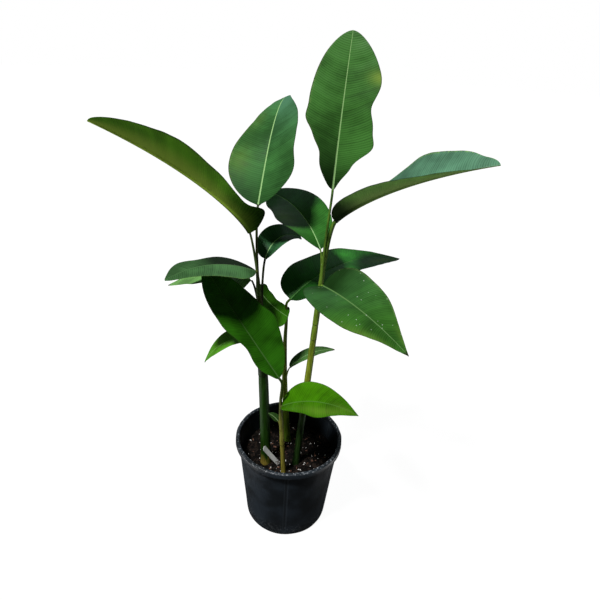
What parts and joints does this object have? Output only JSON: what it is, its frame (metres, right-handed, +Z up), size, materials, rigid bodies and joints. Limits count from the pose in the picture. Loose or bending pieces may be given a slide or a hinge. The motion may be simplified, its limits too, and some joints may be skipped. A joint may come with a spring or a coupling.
{
  "type": "heliconia plant",
  "caption": "Young heliconia in a black nursery pot: leafy shoots with broad paddle-shaped green leaves on slim petioles, bark potting mix and a blank plant label.",
  "frame": {"origin": "centre of the pot's flat underside", "axes": "+Z up, +X to the right and -Y towards the viewer who faces the front of the plant"},
  "size_m": [0.7232, 0.5157, 1.169],
  "materials": {
    "leaf": "satin",
    "stalk": "satin",
    "pot": "satin",
    "soil": "matte",
    "label": "satin"
  },
  "bodies": {
    "root": {"pot": "pot", "soil": "soil", "plant_label": "label", "stalk_left": "stalk", "stalk_front": "stalk", "stalk_back": "stalk", "stalk_right": "stalk", "petiole_far_left": "stalk", "petiole_centre": "stalk", "petiole_far_right": "stalk", "petiole_inner": "stalk", "petiole_left_upper": "stalk", "petiole_left_lower": "stalk", "petiole_front_right": "stalk", "petiole_small_right": "stalk", "petiole_low_front": "stalk", "petiole_drooping": "stalk", "petiole_low_left": "stalk", "petiole_sprout": "stalk", "blade_top": "leaf", "blade_crown": "leaf", "blade_far_left": "leaf", "blade_centre": "leaf", "blade_far_right": "leaf", "blade_inner": "leaf", "blade_left_upper": "leaf", "blade_left_lower": "leaf", "blade_front_left": "leaf", "blade_front_right": "leaf", "blade_back_right": "leaf", "blade_small_right": "leaf", "blade_low_front": "leaf", "blade_drooping": "leaf", "blade_low_left": "leaf", "blade_sprout": "leaf"}
  },
  "joints": []
}
